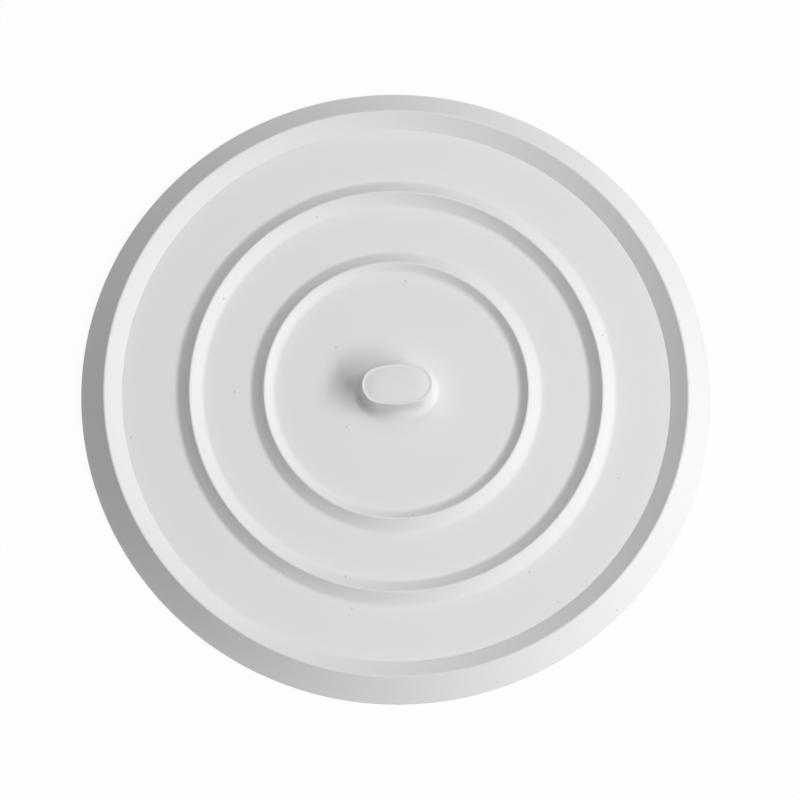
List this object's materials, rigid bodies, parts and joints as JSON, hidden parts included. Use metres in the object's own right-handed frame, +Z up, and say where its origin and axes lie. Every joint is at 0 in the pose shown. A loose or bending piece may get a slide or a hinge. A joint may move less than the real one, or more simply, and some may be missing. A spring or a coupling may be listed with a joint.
{
  "type": "drain stopper",
  "caption": "Round flat white rubber drain stopper with a bevelled rim, concentric raised rings and a small flexible pinch knob in the middle for lifting it off the drain.",
  "frame": {"origin": "middle of the flat underside", "axes": "+Z up through the knob, +X along the knob's long side, +Y across it"},
  "size_m": [0.127, 0.127, 0.0087],
  "materials": {
    "white_rubber": "matte moulded white rubber with a fine, slightly uneven skin"
  },
  "bodies": {
    "disc": {"rim_ring": "white_rubber", "outer_web": "white_rubber", "outer_ridge": "white_rubber", "middle_web": "white_rubber", "inner_ridge": "white_rubber", "centre_web": "white_rubber", "knob_base": "white_rubber"},
    "neck": {"knob_neck": "white_rubber"},
    "knob": {"knob_head": "white_rubber"}
  },
  "joints": [
    {"name": "knob_tilt", "type": "hinge", "parent": "disc", "child": "neck", "pos_m": [0, 0, 0.0044], "axis": [1, 0, 0], "range_deg": [-12, 12], "stiffness_Nm_per_rad": 0.35, "deforming": ["knob_neck"]},
    {"name": "knob_sway", "type": "hinge", "parent": "neck", "child": "knob", "pos_m": [0, 0, 0.0044], "axis": [0, 1, 0], "range_deg": [-6, 6], "stiffness_Nm_per_rad": 0.7, "deforming": ["knob_neck"]}
  ]
}
